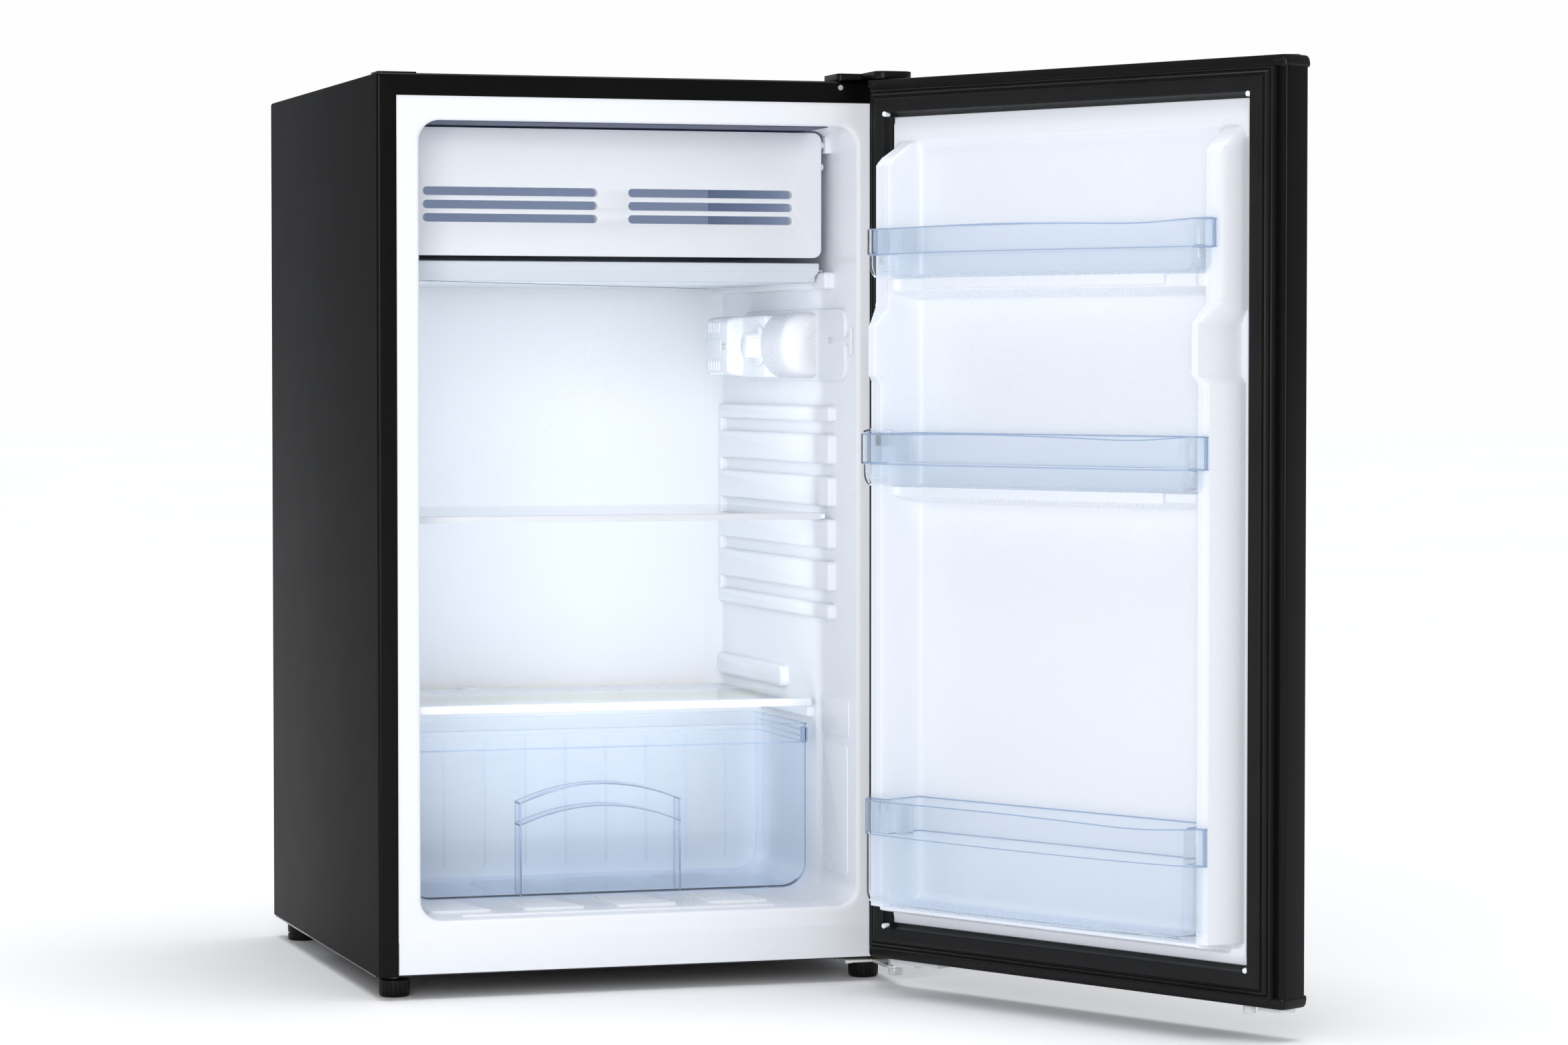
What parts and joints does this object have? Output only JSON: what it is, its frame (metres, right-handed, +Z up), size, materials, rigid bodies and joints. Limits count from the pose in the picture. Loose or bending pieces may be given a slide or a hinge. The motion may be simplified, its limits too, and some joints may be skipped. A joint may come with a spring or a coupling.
{
  "type": "mini fridge",
  "caption": "Under-counter fridge with an open door, clear door bins, freezer flap, glass shelf, crisper drawer, thermostat housing and a compressor bay.",
  "frame": {"origin": "on the floor under the centre of the front left levelling foot", "axes": "+X right seen from the front, +Y to the back, +Z up"},
  "size_m": [0.7145, 0.9865, 0.8555],
  "materials": {
    "shell_paint": "satin",
    "plain_sheet": "matt",
    "white_plastic": "gloss",
    "black_plastic": "satin",
    "grey_plastic": "satin",
    "zinc": "bright",
    "black_steel": "satin",
    "copper": "bright",
    "aluminium": "satin",
    "black_rubber": "matt",
    "foam": "matt",
    "shelf_glass": "gloss",
    "clear_plastic": "gloss",
    "lamp_glass": "gloss"
  },
  "bodies": {
    "cabinet": {"outer_shell": "shell_paint", "back_panel": "plain_sheet", "bay_panel": "plain_sheet", "cabinet_foam": "foam", "inner_liner": "white_plastic", "front_rail": "white_plastic", "base_pan": "black_steel", "compressor_plate": "plain_sheet", "compressor": "black_steel", "compressor_grommets": "black_rubber", "relay_cover": "black_plastic", "condenser_coil": "copper", "filter_drier": "copper", "discharge_tube": "copper", "suction_tube": "copper", "evaporation_tray": "black_plastic", "drain_tube": "black_plastic", "evaporator": "aluminium", "flap_brackets": "white_plastic", "thermostat_housing": "white_plastic", "thermostat_body": "zinc", "lamp_holder": "white_plastic", "lamp_bulb": "lamp_glass", "lamp_cover": "white_plastic", "housing_screw": "zinc", "rear_feet": "black_plastic", "top_hinge_bracket": "zinc", "top_hinge_pin": "zinc", "hinge_cover": "black_plastic", "hinge_screws": "zinc", "hinge_hole_cap": "black_plastic", "bottom_hinge_bracket": "zinc", "bottom_hinge_pin": "zinc", "bottom_hinge_nut": "zinc", "cord_gland": "black_plastic"},
    "left_foot": {"left_foot_stud": "zinc", "left_foot_knob": "black_plastic"},
    "right_foot": {"right_foot_stud": "zinc", "right_foot_knob": "black_plastic"},
    "door": {"door_skin": "shell_paint", "door_top_cap": "black_plastic", "door_bottom_cap": "black_plastic", "door_foam": "foam", "door_liner": "white_plastic", "door_gasket": "black_rubber", "corner_plugs": "white_plastic", "door_stop": "grey_plastic", "spare_fittings": "grey_plastic"},
    "upper_bin": {"upper_bin": "clear_plastic"},
    "middle_bin": {"middle_bin": "clear_plastic"},
    "lower_bin": {"lower_bin": "clear_plastic"},
    "freezer_flap": {"freezer_flap": "white_plastic"},
    "drip_tray": {"drip_tray": "white_plastic"},
    "shelf": {"shelf_glass": "shelf_glass", "shelf_trim": "white_plastic"},
    "crisper_cover": {"crisper_glass": "shelf_glass", "crisper_trim": "white_plastic"},
    "crisper_drawer": {"crisper_drawer": "clear_plastic"},
    "thermostat_dial": {"thermostat_dial": "white_plastic"},
    "light_switch": {"switch_plunger": "white_plastic"}
  },
  "joints": [
    {"name": "door_swing", "type": "hinge", "parent": "cabinet", "child": "door", "pos_m": [0.464, -0.073, 0.435], "axis": [0, 0, 1], "range_deg": [-117, 18]},
    {"name": "left_foot_screw", "type": "slide", "parent": "cabinet", "child": "left_foot", "axis": [0, 0, -1], "range_m": [0, 0.012]},
    {"name": "right_foot_screw", "type": "slide", "parent": "cabinet", "child": "right_foot", "axis": [0, 0, -1], "range_m": [0, 0.012]},
    {"name": "upper_bin_lift", "type": "slide", "parent": "door", "child": "upper_bin", "axis": [0, 0, 1], "range_m": [0, 0.028]},
    {"name": "middle_bin_lift", "type": "slide", "parent": "door", "child": "middle_bin", "axis": [0, 0, 1], "range_m": [0, 0.03]},
    {"name": "lower_bin_lift", "type": "slide", "parent": "door", "child": "lower_bin", "axis": [0, 0, 1], "range_m": [0, 0.04]},
    {"name": "flap_hinge", "type": "hinge", "parent": "cabinet", "child": "freezer_flap", "pos_m": [0.228, 0.05, 0.7923], "axis": [-1, 0, 0], "range_deg": [0, 70]},
    {"name": "drip_tray_slide", "type": "slide", "parent": "cabinet", "child": "drip_tray", "axis": [0, -1, 0], "range_m": [0, 0.12]},
    {"name": "shelf_slide", "type": "slide", "parent": "cabinet", "child": "shelf", "axis": [0, -1, 0], "range_m": [0, 0.13]},
    {"name": "crisper_cover_slide", "type": "slide", "parent": "cabinet", "child": "crisper_cover", "axis": [0, -1, 0], "range_m": [0, 0.17]},
    {"name": "crisper_drawer_slide", "type": "slide", "parent": "cabinet", "child": "crisper_drawer", "axis": [0, -1, 0], "range_m": [0, 0.2]},
    {"name": "dial_turn", "type": "hinge", "parent": "cabinet", "child": "thermostat_dial", "pos_m": [0.398, 0.179, 0.6015], "axis": [-1, 0, 0], "range_deg": [0, 300]},
    {"name": "switch_press", "type": "slide", "parent": "cabinet", "child": "light_switch", "axis": [0, 1, 0], "range_m": [0, 0.006], "stiffness_N_per_m": 100, "springref_m": -0.003}
  ]
}
